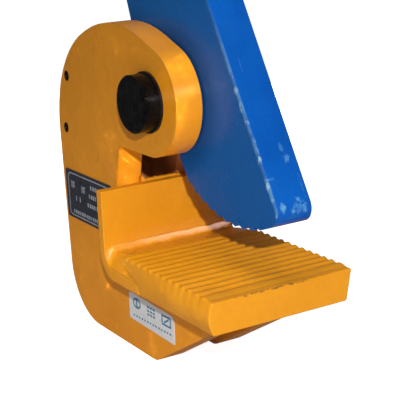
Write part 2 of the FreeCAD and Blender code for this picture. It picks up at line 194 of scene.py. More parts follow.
# ------------------------------------------------------------------ materials
class Paint:
    """A procedural material built node by node."""

    def __init__(self, name, rough=0.4, metallic=0.0, coat=0.0, coat_rough=0.1, specular=0.5):
        self.mat = bpy.data.materials.new(name)
        self.mat.use_nodes = True
        self.nt = self.mat.node_tree
        self.bsdf = self.nt.nodes["Principled BSDF"]
        self.bsdf.inputs["Metallic"].default_value = metallic
        self.bsdf.inputs["Roughness"].default_value = rough
        self.bsdf.inputs["Coat Weight"].default_value = coat
        self.bsdf.inputs["Coat Roughness"].default_value = coat_rough
        self.bsdf.inputs["Specular IOR Level"].default_value = specular
        self.coord = self.nt.nodes.new("ShaderNodeTexCoord").outputs["Object"]

    def feed(self, target, value):
        """Links a socket to an input, or sets the input to a number, a colour or a vector."""
        if hasattr(value, "is_output"):
            self.nt.links.new(value, target)
        else:
            target.default_value = value

    def node(self, kind, *inputs):
        """Adds a node and feeds its inputs in order; None leaves an input alone."""
        n = self.nt.nodes.new("ShaderNode" + kind)
        for i, value in enumerate(inputs):
            if value is not None:
                self.feed(n.inputs[i], value)
        return n

    def noise(self, scale, detail=3.0, rough=0.55, stretch=None):
        """Noise between 0 and 1; stretch scales it along each axis."""
        co = self.coord
        if stretch:
            co = self.node("Mapping", co, None, None, stretch).outputs[0]
        n = self.node("TexNoise", co)
        n.inputs["Scale"].default_value = scale
        n.inputs["Detail"].default_value = detail
        n.inputs["Roughness"].default_value = rough
        return n.outputs["Fac"]

    def math(self, op, a, b=None, c=None):
        """Result of a math node."""
        n = self.node("Math", a, b, c)
        n.operation = op
        return n.outputs[0]

    def both(self, *masks):
        """Product of two or more masks."""
        out = masks[0]
        for mask in masks[1:]:
            out = self.math("MULTIPLY", out, mask)
        return out

    def ramp(self, value, lo, hi, out_lo=0.0, out_hi=1.0):
        """Straight rise from out_lo at lo to out_hi at hi, clamped at both ends."""
        n = self.node("MapRange", value, lo, hi, out_lo, out_hi)
        n.clamp = True
        return n.outputs[0]

    def mix(self, fac, a, b):
        """Colour a where fac is 0 and b where it is 1."""
        n = self.nt.nodes.new("ShaderNodeMix")
        n.data_type = "RGBA"
        self.feed(n.inputs[0], fac)
        for target, colour in ((n.inputs[6], a), (n.inputs[7], b)):
            self.feed(target, (*colour, 1.0) if isinstance(colour, tuple) else colour)
        return n.outputs[2]

    def place(self):
        """Position on the piece as three sockets, in mm about the pivot."""
        split = self.node("SeparateXYZ", self.coord)
        return [self.math("MULTIPLY_ADD", split.outputs[i], 1.0 / MM, -start / MM)
                for i, start in enumerate((PX, 0.0, PZ))]

    def distance(self, a, b):
        """Length of the vector with components a and b."""
        return self.math("SQRT", self.math("ADD", self.both(a, a), self.both(b, b)))

    def shade(self, setting, value):
        """Feeds one setting of the surface, such as its base colour."""
        self.nt.links.new(value, self.bsdf.inputs[setting])

    def bump(self, layers):
        """Layers of (height socket, distance in metres), added one on the other."""
        last = None
        for height, distance in layers:
            b = self.nt.nodes.new("ShaderNodeBump")
            b.inputs["Strength"].default_value = 1.0
            b.inputs["Distance"].default_value = distance
            self.nt.links.new(height, b.inputs["Height"])
            if last is not None:
                self.nt.links.new(last, b.inputs["Normal"])
            last = b.outputs[0]
        self.nt.links.new(last, self.bsdf.inputs["Normal"])


# spring pin centres on the plates' faces, x and z about the pivot in mm
SPINE_SPOTS = [(-101.0, 2.2), (-106.6, -30.8)]
# radius in mm of the painted shade that darkens each spring pin hole to near black
HOLE_SHADE_R = 3.2

# half widths in mm: over the side plates, between them, and of the lever
FRAME_HALF = -PLATE_OUT / MM
SLOT_HALF = -PLATE_IN / MM
LEVER_HALF = CAM_HALF / MM


def slot_shade_mask(p):
    """Mask of the painted shade on the faces inside the slot between the plates, and on the far plate's edge
    in the throat.
    """
    x, y, z = p.place()
    walls = p.both(
        p.ramp(p.math("ABSOLUTE", y), SLOT_HALF + 0.25, SLOT_HALF + 0.05), p.ramp(x, -73.8, -73.2),
        p.ramp(x, -37.0, -38.0), p.ramp(z, -75.5, -74.5))
    throat = p.math("ABSOLUTE", p.math("ADD", z, 47.0))
    far_edge = p.both(
        p.ramp(y, 0.0, 1.0), p.ramp(y, FRAME_HALF - 0.4, FRAME_HALF - 1.0), p.ramp(x, -37.2, -38.2),
        p.ramp(x, -60.0, -58.0), p.ramp(throat, 16.0, 12.0))
    return p.math("MAXIMUM", walls, far_edge)


def slot_painted_shade(p):
    """Painted shade in the slot: nearly black and mottled, lighter and reddish at the back and on the far
    wall.
    """
    x, y, _ = p.place()
    mottled_shade = p.mix(p.noise(90.0, 5.0), (0.035, 0.013, 0.005), (0.10, 0.036, 0.011))
    less_shade = p.math("MAXIMUM", p.ramp(x, -62.0, -70.0), p.ramp(y, SLOT_HALF - 0.5, SLOT_HALF - 0.2))
    return p.mix(less_shade, mottled_shade, (0.40, 0.125, 0.035))


def outer_face_shade(p):
    """Mask of painted shade on the side plates' outer faces, growing towards the top."""
    _, y, z = p.place()
    face = p.ramp(p.math("ABSOLUTE", y), FRAME_HALF - 0.5, FRAME_HALF - 0.15)
    return p.both(face, p.ramp(z, -130.0, 30.0, 0.0, 0.85))


def yellow_base(p, red, green):
    """Orange-yellow with soft patches and a little dirt."""
    patches = p.ramp(p.noise(28.0, 3.0), 0.35, 0.65)
    base = p.mix(patches, (0.76 * red, 0.276 * green, 0.009), (0.83 * red, 0.312 * green, 0.012))
    base = p.mix(p.ramp(p.noise(240.0, 3.0), 0.3, 0.75, 0.0, 0.18), base, (0.64, 0.21, 0.01))
    dirt = p.both(p.ramp(p.noise(75.0, 6.0, 0.7), 0.62, 0.76), 0.2)
    return p.mix(dirt, base, (0.42, 0.15, 0.01))


def yellow_paint(name, peel=1.0, tint=(1.0, 1.0), painted_top_shade=False, bare_or_crack_shade=None, bare_or_crack_shade_colour=(0.20, 0.085, 0.02),
                 bead=False):
    """Glossy enamel over flame-cut steel; tint scales its red and green, the mask function marks bare steel
    or the painted shade of a crack, and painted shade darkens the slot, the spring pin holes and, when asked,
    the plates' outer faces towards the top.
    """
    coat = 0.7 if bead else 0.25
    p = Paint(name, rough=0.34, coat=coat, coat_rough=0.2 if bead else 0.05, specular=0.32)
    x, y, z = p.place()
    base = yellow_base(p, *tint)
    rough = p.ramp(p.noise(60.0, 4.0), 0.3, 0.7, 0.26, 0.42)
    # bare steel, or the painted shade of a crack, where the mask says
    if bare_or_crack_shade is not None:
        mask = bare_or_crack_shade(p)
        base = p.mix(mask, base, bare_or_crack_shade_colour)
        rough = p.math("ADD", rough, p.both(mask, 0.3))
    # painted shade: the side plates' outer faces darken towards the top
    if painted_top_shade:
        base = p.mix(outer_face_shade(p), base, (0.50, 0.19, 0.005))
    if bead:
        p.shade("Coat Weight", p.ramp(y, -39.5, -34.0, 0.05, coat))
    else:
        # painted shade inside the slot and on the far plate's throat edge
        slot = slot_shade_mask(p)
        base = p.mix(slot, base, slot_painted_shade(p))
        rough = p.math("ADD", rough, p.both(slot, 0.3))
    # painted shade: the spring pin holes are darkened to near black
    for spot_x, spot_z in SPINE_SPOTS:
        off = p.distance(p.math("ADD", x, -spot_x), p.math("ADD", z, -spot_z))
        base = p.mix(p.ramp(off, HOLE_SHADE_R + 0.15, HOLE_SHADE_R - 0.15), base, (0.006, 0.004, 0.003))
    p.shade("Base Color", base)
    p.shade("Roughness", rough)
    p.bump([(p.noise(420.0, 2.0), 0.00012 * peel), (p.noise(70.0, 3.0), 0.0006 * peel)])
    return p.mat


# the lever's straight front edge in mm about the pivot: its x at the pivot's height, and x lost per z
FRONT_X = 69.3
FRONT_SLOPE = 0.577
FRONT_COS = 0.866

# rubbed places on the lever's front face: y, z about the pivot, half width and height, strength
SCUFFS = [
    (4.0, -44.4, 4.8, 4.0, 0.85), (-6.4, -43.2, 1.7, 2.8, 0.85), (-7.8, -29.6, 3.6, 0.8, 0.6),
    (4.0, -16.2, 1.1, 2.2, 0.3), (5.2, -21.4, 1.7, 2.2, 0.45), (0.0, -52.0, 14.0, 3.4, 0.5),
    (8.8, -34.0, 0.6, 6.0, 0.2), (-3.5, 24.0, 0.5, 3.5, 0.25)]


def worn_edge(p, inward):
    """Mask of the paler line where the front and near faces of the lever meet."""
    _, y, z = p.place()
    edge = p.both(p.ramp(inward, 1.6, 1.0), p.ramp(y, -LEVER_HALF + 1.6, -LEVER_HALF + 1.0))
    worn = p.ramp(p.noise(150.0, 4.0, 0.6, (1.0, 1.0, 0.5)), 0.36, 0.60, 0.12, 0.55)
    return p.both(edge, worn, p.ramp(z, 50.0, 10.0, 0.4, 1.0))


def edge_chips(p, inward):
    """Mask of the chips along the lower half of the same edge."""
    _, y, z = p.place()
    edge = p.both(p.ramp(inward, 2.2, 1.2), p.ramp(y, -LEVER_HALF + 1.8, -LEVER_HALF + 1.0))
    ragged = p.ramp(p.noise(210.0, 5.0, 0.7, (1.0, 1.0, 0.5)), 0.55, 0.62)
    return p.both(edge, p.ramp(z, 30.0, 0.0), ragged)


def front_scuffs(p, inward):
    """Mask of the ragged rubbed places on the lever's front face."""
    _, y, z = p.place()
    ragged = p.ramp(p.noise(260.0, 5.0, 0.75), 0.36, 0.64, -0.9, 0.9)
    scuffs = 0.0
    for y0, z0, half_y, half_z, depth in SCUFFS:
        dy = p.math("DIVIDE", p.math("SUBTRACT", y, y0), half_y)
        dz = p.math("DIVIDE", p.math("SUBTRACT", z, z0), half_z)
        off = p.math("ADD", p.math("ADD", p.both(dy, dy), p.both(dz, dz)), ragged)
        scuffs = p.math("MAXIMUM", scuffs, p.ramp(off, 0.95, 0.35, 0.0, depth))
    uneven = p.ramp(p.noise(170.0, 5.0, 0.65), 0.36, 0.62, 0.25, 1.0)
    return p.both(scuffs, p.ramp(inward, 3.2, 2.2), uneven)


def blue_paint(name):
    """Glossy blue enamel, rubbed through along the front edge and scuffed at the nose, with painted shade on
    its sides.
    """
    p = Paint(name, rough=0.3, coat=0.1, coat_rough=0.1, specular=0.15)
    x, y, z = p.place()
    patches = p.ramp(p.noise(24.0, 3.0), 0.35, 0.65)
    base = p.mix(patches, (0.0015, 0.074, 0.36), (0.003, 0.098, 0.435))
    dull = p.both(p.ramp(p.noise(90.0, 6.0, 0.7), 0.58, 0.74), 0.25)
    base = p.mix(dull, base, (0.015, 0.085, 0.22))
    side = p.ramp(p.math("ABSOLUTE", y), LEVER_HALF - 0.5, LEVER_HALF - 0.15)
    # painted shade: the lever's side faces take a darker blue than its front
    base = p.mix(p.both(side, 0.9), base, (0.005, 0.080, 0.265))
    reach = p.distance(x, z)
    # painted shade: the sides darken further near the pivot, beside the ear
    base = p.mix(p.both(side, p.ramp(reach, 46.0, 31.0, 0.0, 0.6)), base, (0.001, 0.022, 0.095))
    p.shade("Specular IOR Level", p.ramp(reach, 50.0, 38.0, 0.15, 0.03))
    inward = p.math("SUBTRACT", FRONT_X, p.math("ADD", x, p.both(z, FRONT_SLOPE)))
    inward = p.both(inward, FRONT_COS)
    base = p.mix(worn_edge(p, inward), base, (0.16, 0.34, 0.50))
    chips = edge_chips(p, inward)
    base = p.mix(p.both(chips, 0.75), base, (0.36, 0.52, 0.64))
    scuffs = front_scuffs(p, inward)
    p.shade("Base Color", p.mix(scuffs, base, (0.15, 0.40, 0.60)))
    worn_off = p.math("ADD", p.both(chips, 0.3), p.both(scuffs, 0.2))
    p.shade("Roughness", p.math("ADD", p.ramp(p.noise(70.0, 4.0), 0.3, 0.7, 0.24, 0.38), worn_off))
    p.bump([(p.noise(420.0, 2.0), 0.0001), (p.noise(60.0, 3.0), 0.0005)])
    return p.mat


def dark_metal(name, colour, rough=0.42, metallic=0.5, lines=None, specular=0.5):
    """Plain or oiled metal; lines stretches a fine grain along the turned surface."""
    p = Paint(name, rough=rough, metallic=metallic, specular=specular)
    cloud = p.ramp(p.noise(180.0, 5.0, 0.65), 0.35, 0.7)
    light = tuple(min(1.0, c * 2.2 + 0.01) for c in colour)
    p.shade("Base Color", p.mix(p.both(cloud, 0.5), colour, light))
    p.shade("Roughness", p.ramp(p.noise(110.0, 4.0), 0.3, 0.7, rough - 0.1, rough + 0.14))
    layers = [(p.noise(700.0, 2.0), 0.00006)]
    if lines:
        layers.append((p.noise(900.0, 2.0, 0.5, lines), 0.00008))
    p.bump(layers)
    return p.mat


def flat_ink(name, colour, rough=0.4, vary=0.12):
    """Printed or anodised surface with slight unevenness."""
    p = Paint(name, rough=rough)
    other = tuple(c * (1.0 - vary * 2) for c in colour)
    p.shade("Base Color", p.mix(p.ramp(p.noise(160.0, 4.0, 0.6), 0.35, 0.7), colour, other))
    p.shade("Roughness", p.ramp(p.noise(200.0, 3.0), 0.3, 0.7, rough - 0.08, rough + 0.1))
    p.bump([(p.noise(900.0, 2.0), 0.00003)])
    return p.mat


def pad_chips(p):
    """Bare patches along the pad's front top edge."""
    x, y, z = p.place()
    edge = p.both(p.ramp(x, PAD_FRONT - 1.3, PAD_FRONT - 0.6), p.ramp(z, TIP - 2.2, TIP - 1.8))
    middle = p.ramp(p.math("ABSOLUTE", p.math("ADD", y, 6.0)), 34.0, 16.0)
    ragged = p.ramp(p.noise(620.0, 3.0, 0.6, (1.0, 0.5, 1.0)), 0.42, 0.62)
    return p.ramp(p.both(edge, middle, ragged), 0.25, 0.75, 0.0, 0.8)


def bead_crack(p):
    """Painted shade of a short crack near the left end of the rear bead, 15.2 mm behind the pivot; no groove
    is modelled.
    """
    x, y, _ = p.place()
    wander = p.both(p.math("ADD", p.noise(260.0, 2.0), -0.5), 2.0)
    across = p.math("ABSOLUTE", p.math("ADD", p.math("ADD", x, wander), 15.2))
    along = p.math("ABSOLUTE", p.math("ADD", y, 33.4))
    return p.both(p.ramp(across, 0.8, 0.4), p.ramp(along, 3.8, 2.8))


YELLOW = yellow_paint("yellow_enamel", tint=(1.0, 1.05))
PLATE_YELLOW = yellow_paint("yellow_enamel_plates", 1.1, painted_top_shade=True)
PAD_YELLOW = yellow_paint("yellow_enamel_pad", 0.9, (1.06, 1.13), bare_or_crack_shade=pad_chips)
# the rear bead's crack is painted shade, a dark line with no groove
WELD_YELLOW = yellow_paint("yellow_enamel_weld", 1.6, (1.0, 1.06), bare_or_crack_shade=bead_crack,
                           bare_or_crack_shade_colour=(0.05, 0.02, 0.006), bead=True)
BLUE = blue_paint("blue_enamel")
BLACK = dark_metal("black_lacquer", (0.0012, 0.0012, 0.0014), 0.22, 0.0, specular=0.12)
SPRING = dark_metal("phosphated_spring_steel", (0.006, 0.005, 0.005), 0.34, 0.2, specular=0.25)
BRONZE = dark_metal("bearing_bronze", (0.36, 0.22, 0.09), 0.35, 0.9, (1.0, 8.0, 1.0))
PLATE_DARK = flat_ink("anodised_plate", (0.033, 0.036, 0.050), 0.45)
PLATE_PALE = flat_ink("plate_marks", (0.34, 0.36, 0.40), 0.45)
FILM = flat_ink("label_film", (0.70, 0.71, 0.72), 0.35, 0.04)
FILM_BLUE = flat_ink("label_blue", (0.02, 0.20, 0.36), 0.35)


# ------------------------------------------------------------------ side plates
EAR_R = 30.5
PIN_HOLE_R = 16.05
SPINE_HOLE_R = 3.0
SEAT = SEAT_Z / MM
BOTTOM = span("side_plate_left", 2)[0] / MM - PZ / MM


def side_outline():
    """C shape: down the back, along the bottom, up to the seat, round the throat and the ear."""
    tangent = math.radians(70.0)
    body = fillet([
        (EAR_R * math.cos(tangent), EAR_R * math.sin(tangent), 0),
        (-37.8, 46.2, 90.0), (-117.9, 13.1, 66.0), (-111.3, BOTTOM, 35.0), (-5.4, BOTTOM, 12.0),
        (70.0, -109.2, 1.5), (70.0, SEAT, 0), (-37.5, SEAT, 15.5), (-37.5, -68.0, 3.0),
        (-43.8, -58.0, 4.0), (-37.0, -EAR_R, 5.0), (0.0, -EAR_R, 0)])
    return body + ring(0, 0, EAR_R, -90.0, 70.0, 40)[1:-1]


for side, y0, y1 in (("left", PLATE_OUT, PLATE_IN), ("right", -PLATE_IN, -PLATE_OUT)):
    holes = [ring(0, 0, PIN_HOLE_R, steps=64)] + [ring(x, z, SPINE_HOLE_R, steps=24) for x, z in SPINE_SPOTS]
    mesh = plate_mesh([side_outline()] + holes, y0, y1)
    ob = new_object("plate_" + side, mesh, "frame", PLATE_YELLOW)
    soften(ob, 1.1 * MM)
    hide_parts("side_plate_" + side)


# ------------------------------------------------------------------ bracket
BRACKET_THICK = 6.0
BEND_OUT = 15.5
UPRIGHT_BACK = -37.5
UPRIGHT_TOP = -54.2
UPRIGHT_FACE = UPRIGHT_BACK + BRACKET_THICK
LEG_FRONT = 7.0
LEG_TOP = SEAT + BRACKET_THICK
bracket_outline = fillet([
    (UPRIGHT_FACE, UPRIGHT_TOP, 0), (UPRIGHT_BACK, UPRIGHT_TOP, 0), (UPRIGHT_BACK, SEAT, BEND_OUT),
    (LEG_FRONT, SEAT, 0), (LEG_FRONT, LEG_TOP, 0), (UPRIGHT_FACE, LEG_TOP, BEND_OUT - BRACKET_THICK)])
mesh = plate_mesh([bracket_outline], -BRACKET_HALF, BRACKET_HALF)
ob = new_object("bracket", mesh, "frame", YELLOW)
soften(ob, 0.6 * MM)
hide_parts("jaw_bracket")


# ------------------------------------------------------------------ toothed pad
PAD_BACK = -10.0
PAD_BACK_THICK = 3.2
PITCH = 6.8
DEPTH = 1.06
TEETH = 13
FIRST_TOOTH = -6.2

# the pad's cross-section: its sides at the top, their corner radii, and how far they lean in at the foot
PAD_LEFT = -44.4
PAD_RIGHT = 44.42
TOP_LEFT_R = 1.9
TOP_RIGHT_R = 0.8
FOOT_R = 1.2
LEFT_LEAN = 0.5
RIGHT_LEAN = 3.0


def ridge(x, y):
    """Depth below the tooth tips at a place on the pad, in mm, with a hand-made waviness."""
    broad = noise.noise(Vector((x * 0.09, y * 0.05, 3.0))) * 0.6
    fine = noise.noise(Vector((x * 0.3, y * 0.16, 9.0))) * 0.3
    u = (x + broad + fine - FIRST_TOOTH) / PITCH
    if u < -0.5:
        return 1.3
    last = TEETH - 1
    if u > last:
        last_x = FIRST_TOOTH + PITCH * last
        front = (x - last_x) / (PAD_FRONT - last_x)
        rag = noise.noise(Vector((x * 0.5, y * 0.3, 31.0))) * 0.25
        worn = 0.95 * min(1.0, max(0.0, front + 0.02) / 0.5) ** 1.6
        return worn + 0.45 * max(0.0, front - 0.5) + rag * front
    wave = 0.5 - 0.5 * math.cos(2 * math.pi * (u - math.floor(u)) ** 0.86)
    return DEPTH * (1.0 + 0.25 * noise.noise(Vector((x * 0.2, y * 0.07, 20.0)))) * wave


def arc(cy, cz, r, start, step, count):
    """Points on an arc in degrees, without the first one."""
    turns = [math.radians(start + step * k) for k in range(1, count + 1)]
    return [(cy + r * math.cos(a), cz + r * math.sin(a)) for a in turns]


def flame_cut_side(x, left, top, foot, dip):
    """Left side of the pad from the foot up: it bulges more towards the front, with a ragged face."""
    grow = min(1.0, max(0.0, (x + 4.0) / 62.0))
    bulge = 0.25 + 1.75 * grow * grow * (3 - 2 * grow)
    upper = top - TOP_LEFT_R
    pts = []
    for k in range(1, 15):
        t = 1 - k / 14
        belly = math.sin(math.pi * t)
        rag = noise.noise(Vector((x * 0.12, t * 1.5, 40.0))) * 0.25 * belly
        z = (upper - dip * 0.5) * (1 - t) + (foot + FOOT_R) * t
        pts.append((left + LEFT_LEAN * t - bulge * belly + rag, z))
    for k, (y, z) in enumerate(arc(left + TOP_LEFT_R, upper, TOP_LEFT_R, 180, -11.25, 7), 1):
        pts.append((y, z - dip * (0.5 + 0.5 * k / 8)))
    return pts


def pad_ring(x, inset):
    """Outline of the pad cut across at x, as (y, z) points in mm, clockwise from the top left."""
    top, foot = TIP - inset, SEAT + inset
    left, right = PAD_LEFT + inset, PAD_RIGHT - inset
    start, end = left + TOP_LEFT_R, right - TOP_RIGHT_R
    across = [start + (end - start) * k / 60 for k in range(61)]
    pts = [(y, top - ridge(x, y)) for y in across]
    corner = top - TOP_RIGHT_R - ridge(x, end)
    pts += arc(end, corner, TOP_RIGHT_R, 90, -18, 5)
    pts += [(right - RIGHT_LEAN * k / 6, corner * (1 - k / 6) + (foot + FOOT_R) * k / 6) for k in range(1, 7)]
    toe, heel = right - RIGHT_LEAN - FOOT_R, left + LEFT_LEAN + FOOT_R
    pts += arc(toe, foot + FOOT_R, FOOT_R, 0, -30, 3)
    pts += [(toe + (heel - toe) * k / 19, foot) for k in range(1, 20)]
    pts += arc(heel, foot + FOOT_R, FOOT_R, -90, -30, 3)
    return pts + flame_cut_side(x, left, top, foot, ridge(x, start))


def lift(x, z):
    """Raises the underside over the bracket's leg and along the weld chamfer at the back."""
    if x < LEG_FRONT:
        rise = 0.0 if x > LEG_FRONT - 0.1 else (LEG_FRONT - x) / (LEG_FRONT - PAD_BACK)
        return max(z, LEG_TOP + rise * (TIP - PAD_BACK_THICK - LEG_TOP))
    return z


def pad_loft():
    """Sections from back to front, closer together at both ends, where the edges are rounded."""
    edge_r = 0.7
    stations = [PAD_BACK, PAD_BACK + 0.1, PAD_BACK + 0.35, PAD_BACK + 0.8]
    x = PAD_BACK + 1.4
    while x < PAD_FRONT - 1.2:
        stations.append(x)
        x += 0.55
    stations += [PAD_FRONT - 0.7, PAD_FRONT - 0.35, PAD_FRONT - 0.1, PAD_FRONT]
    sections = []
    for x in stations:
        end = min(x - PAD_BACK, PAD_FRONT - x, edge_r)
        inset = edge_r - math.sqrt(edge_r ** 2 - (edge_r - end) ** 2)
        sections.append([(PX + x * MM, y * MM, PZ + lift(x, z) * MM) for y, z in pad_ring(x, inset)])
    return loft(sections)


ob = new_object("jaw_pad", pad_loft(), "frame", PAD_YELLOW)
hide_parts("toothed_jaw_pad")


# ------------------------------------------------------------------ rear weld
BEND_X = UPRIGHT_BACK + BEND_OUT
BEND_Z = SEAT + BEND_OUT
BEND_R = BEND_OUT - BRACKET_THICK - 0.05
BEAD_FLOOR = LEG_TOP + 0.03
TOE_X = UPRIGHT_FACE - 0.15


def bend_floor(x):
    """Height of the bracket's inner face at x, in mm."""
    if x >= BEND_X:
        return BEAD_FLOOR
    return BEND_Z - math.sqrt(max(0.0, BEND_R ** 2 - (x - BEND_X) ** 2))


BEAD_CREST = TIP - 1.25
BEAD_FULL = [(-8.8, -1.2), (-9.5, -0.35), (-10.4, 0.0), (-14.0, -0.2), (-19.0, -0.9), (-24.0, -1.9),
             (-27.3, -2.5), (-28.8, -2.1), (-29.9, -0.9), (TOE_X, 1.5)]
BEAD_THIN = [2.0, 0.0, -4.0, -9.0, -15.0, -21.0, -25.5, -28.2, -30.0, TOE_X]


def bead_path(built):
    """Top line of the bead from pad to upright: thin over the bend at built 0, full at built 1."""
    path = []
    for (x, z), x_thin in zip(BEAD_FULL, BEAD_THIN):
        low = Vector((x_thin, max(SEAT + 8.0, bend_floor(x_thin) + 0.7)))
        path.append(low.lerp(Vector((x, BEAD_CREST + z)), built))
    return path


def bead_section(y, built, drop):
    """Closed outline of the bead at y, in mm about the pivot, lowered by drop at its far end."""
    ripple = math.sin(y * 1100 + 2.2 * noise.noise(Vector((y * 70, 4.0, 0.0))))
    heel = Vector((2.5, -97.9)).lerp(Vector((-9.95, TIP - 3.45)), built)
    sec = [Vector((x, BEAD_FLOOR)) for x in (-21.0, -12.0, 6.0)] + [heel]
    path = bead_path(built)
    for a, b in zip(path, path[1:]):
        for k in range(4):
            p = a.lerp(b, k / 4)
            across = max(0.0, min(1.0, (p.x + 31.3) / 3.0, (-9.0 - p.x) / 4.0))
            rag = noise.noise(Vector((y * 190, p.x * 0.22, 1.0))) * 0.42 + ripple * 0.07
            p.y = max(p.y + rag * across * (0.3 + 0.7 * built) - drop, bend_floor(p.x) + 0.05)
            sec.append(p)
    toe = path[-1].y + 0.8 * noise.noise(Vector((y * 130, 2.0, 5.0))) - drop
    sec.append(Vector((TOE_X, max(toe, BEND_Z + 0.1))))
    for k in range(1, 6):
        a = math.radians(195 + 70 * k / 5)
        sec.append(Vector((BEND_X + BEND_R * math.cos(a), BEND_Z + BEND_R * math.sin(a))))
    return sec


def weld_sections():
    """Bead from the bracket's upright over the bend to the pad, sinking to the bend at its left end."""
    lo = -44.0 * MM
    hi = span("weld_pad_rear", 1)[1]
    steps = 170
    sections = []
    for i in range(steps + 1):
        y = lo + (hi - lo) * i / steps
        t = min(1.0, (y - lo) / (6.5 * MM))
        built = t * t * (3 - 2 * t)
        end = max(0.0, 1.0 - (hi - y) / (2.0 * MM))
        drop = 2.0 * (1.0 - math.sqrt(max(0.0, 1.0 - end * end)))
        sections.append([(PX + p.x * MM, y, PZ + p.y * MM) for p in bead_section(y, built, drop)])
    return sections


ob = new_object("rear_bead", loft(weld_sections()), "frame", WELD_YELLOW)
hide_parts("weld_pad_rear")


# ------------------------------------------------------------------ bead behind the bracket's upright
def slot_bead():
    """Lumpy bead on the spacer's ledge behind the upright's top edge, climbing the near plate."""
    lo = PLATE_IN - 1.0 * MM
    hi = -PLATE_IN - 0.03 * MM
    steps = 64
    sections = []
    for i in range(steps + 1):
        t = i / steps
        y = lo + (hi - lo) * t
        climb = 1.9 * max(0.0, 1.0 - (y - lo) / (3.4 * MM)) ** 1.6
        top = -53.2 + climb - 0.3 * t + 0.45 * noise.noise(Vector((y * 420, 3.0, 1.0)))
        swell = 0.35 * noise.noise(Vector((y * 520, 8.0, 4.0)))
        near = UPRIGHT_BACK + 0.05
        sec = [(near, -62.5), (near, -54.5), (-37.9, top - 0.1), (-39.0, top + 0.1), (-40.6, top),
               (-42.2 - swell, top - 1.0), (-43.4 - swell, top - 3.0), (-44.2 - swell, -61.0),
               (-44.2 - swell, -63.4)]
        sections.append([(PX + a * MM, y, PZ + b * MM) for a, b in sec])
    return sections


ob = new_object("slot_bead", loft(slot_bead()), "frame", WELD_YELLOW)
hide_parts("weld_bracket_top")


# ------------------------------------------------------------------ cam lever
SCALLOPS = 9
SCALLOP_DEPTH = 2.3
BOSS_R = 30.0
BORE_R = 19.0
EYE = Vector((-38.0, 92.0))
EYE_R = 25.0
EYE_HOLE_R = 12.0
NOSE_Z = -50.3
ELBOW_Z = 66.0

# three points on the belly: beside the nose, its lowest part, and beside the boss
BELLY = [Vector((80.0, -57.2)), Vector((43.0, -59.2)), Vector((11.9, -46.0))]


def on_front(z):
    """Point of the lever's straight front edge at a height."""
    return Vector((FRONT_X - FRONT_SLOPE * z, z))


def angle_of(v):
    """Direction of a vector, in radians from +X."""
    return math.atan2(v.y, v.x)


def circle_through(p, q, r):
    """Centre and radius of the circle through three points."""
    ax, ay, bx, by = q.x - p.x, q.y - p.y, r.x - p.x, r.y - p.y
    a_square, b_square = ax * ax + ay * ay, bx * bx + by * by
    d = 2 * (ax * by - ay * bx)
    off = Vector(((by * a_square - ay * b_square) / d, (ax * b_square - bx * a_square) / d))
    return p + off, off.length


def belly_tips():
    """Points between the scallops, from the nose back."""
    centre, r = circle_through(*BELLY)
    a0, a1 = [math.atan2(p.y - centre.y, p.x - centre.x) for p in (BELLY[0], BELLY[2])]
    turns = [a0 + (a1 - a0) * i / SCALLOPS for i in range(SCALLOPS + 1)]
    return [centre + Vector((math.cos(a), math.sin(a))) * r for a in turns]


def scallop(a, b):
    """Hollow between two tips, without its first point."""
    inward = -((a + b) / 2).normalized() * SCALLOP_DEPTH
    shares = [k / 8 for k in range(1, 9)]
    return [a.lerp(b, t) + inward * 4 * t * (1 - t) for t in shares]


def cam_outline():
    """Nose, scalloped belly, boss round the pin, the eye and the straight front edge."""
    tips = belly_tips()
    pts = fillet([(*on_front(30.0), 0), (*on_front(NOSE_Z), 8.0), (*tips[0], 0)])[1:]
    for a, b in zip(tips, tips[1:]):
        pts += scallop(a, b)
    pts.append(Vector((1.26, -29.98)))
    side = math.degrees(angle_of(EYE) + math.acos((BOSS_R - EYE_R) / EYE.length))
    pts += ring(0, 0, BOSS_R, -87.6, side - 360.0, 36)[1:]
    elbow = on_front(ELBOW_Z)
    to_eye = EYE - elbow
    aim = angle_of(to_eye) - math.asin(EYE_R / to_eye.length)
    run = math.sqrt(to_eye.length ** 2 - EYE_R ** 2)
    eye_front = elbow + Vector((math.cos(aim), math.sin(aim))) * run
    pts += ring(EYE.x, EYE.y, EYE_R, side, math.degrees(angle_of(eye_front - EYE)), 36)
    pts += fillet([(*eye_front, 0), (*elbow, 60.0), (*on_front(20.0), 0)], 3.0)[1:-1]
    furthest = (cad_box[1].x - PX) / MM
    return [Vector((min(p.x, furthest), p.y)) for p in pts]


cam_loops = [cam_outline(), ring(0, 0, BORE_R, steps=64), ring(EYE.x, EYE.y, EYE_HOLE_R, steps=56)]
ob = new_object("lever", plate_mesh(cam_loops, -CAM_HALF, CAM_HALF), "cam", BLUE)
soften(ob, 0.8 * MM, angle=28)
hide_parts("cam_lever")


# ------------------------------------------------------------------ nodes kept from the CAD model
def dress(node, material, width):
    """Gives a CAD node its material and, where width isn't 0, rounded edges."""
    ob = frame["nodes"][node]
    ob.data.materials.clear()
    ob.data.materials.append(material)
    if width:
        soften(ob, width, 2, 40)


for node, material, width in (
        ("spine_spacer", YELLOW, 0.6), ("spine_pins", SPRING, 0.25), ("pivot_pin", BLACK, 0.5),
        ("pin_circlips", SPRING, 0.25), ("thrust_washer_left", BRONZE, 0), ("thrust_washer_right", BRONZE, 0),
        ("cam_bush", BRONZE, 0.3), ("weld_seat_left", YELLOW, 0.8), ("weld_seat_right", YELLOW, 0.8),
        ("weld_bracket_left", YELLOW, 0.8), ("weld_bracket_right", YELLOW, 0.8),
        ("weld_spine_left", YELLOW, 0.3), ("weld_spine_right", YELLOW, 0.3),
        ("nameplate", PLATE_DARK, 0.15), ("inspection_label", FILM, 0)):
    dress(node, material, width * MM)


# ------------------------------------------------------------------ marks on the plate and the label
MARK_THICK = 0.04 * MM


